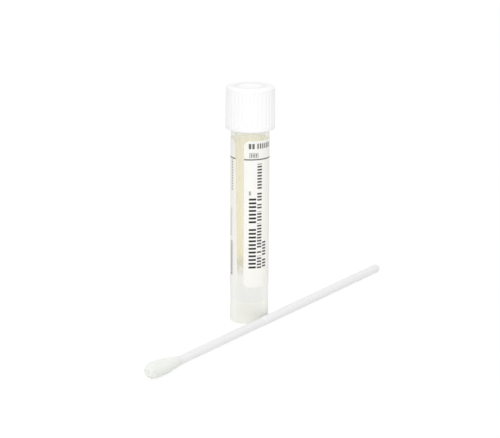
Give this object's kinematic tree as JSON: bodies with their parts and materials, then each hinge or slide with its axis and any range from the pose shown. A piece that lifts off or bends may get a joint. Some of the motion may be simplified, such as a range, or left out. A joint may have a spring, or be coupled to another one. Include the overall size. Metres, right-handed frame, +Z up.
{
  "type": "specimen swab tube",
  "caption": "Self-standing plastic screw-cap tube with clear transport fluid, white ribbed cap and blank wrap label, with a long flocked sampling swab lying beside it.",
  "frame": {"origin": "centre of the tube's foot, on the floor that the tube stands on and the swab lies on", "axes": "+Z up along the tube's axis, -Y to the front, where the label is read"},
  "size_m": [0.0776, 0.1324, 0.078],
  "materials": {
    "tube": "frosted translucent polypropylene",
    "cap": "satin white moulded polypropylene",
    "cap_seal": "matt, soft",
    "label": "satin white film with black print, pale cream adhesive side",
    "reagent": "clear, very pale yellow green fluid",
    "swab_handle": "smooth white moulded plastic",
    "swab_tip": "soft white nylon flock"
  },
  "bodies": {
    "tube": {"tube": "tube", "label": "label", "reagent": "reagent", "swab_handle": "swab_handle", "swab_tip": "swab_tip"},
    "seal": {"cap_seal": "cap_seal"},
    "cap": {"cap": "cap"}
  },
  "joints": [
    {"name": "cap_lift", "type": "slide", "parent": "tube", "child": "seal", "axis": [0, 0, 1], "range_m": [0, 0.006]},
    {"name": "cap_turn", "type": "hinge", "parent": "seal", "child": "cap", "pos_m": [0, 0, 0.0764], "axis": [0, 0, 1], "range_deg": [0, 720]}
  ],
  "couplings": [
    {"joint": "cap_turn", "follows": "cap_lift", "rad_per_m": 2094.4}
  ]
}
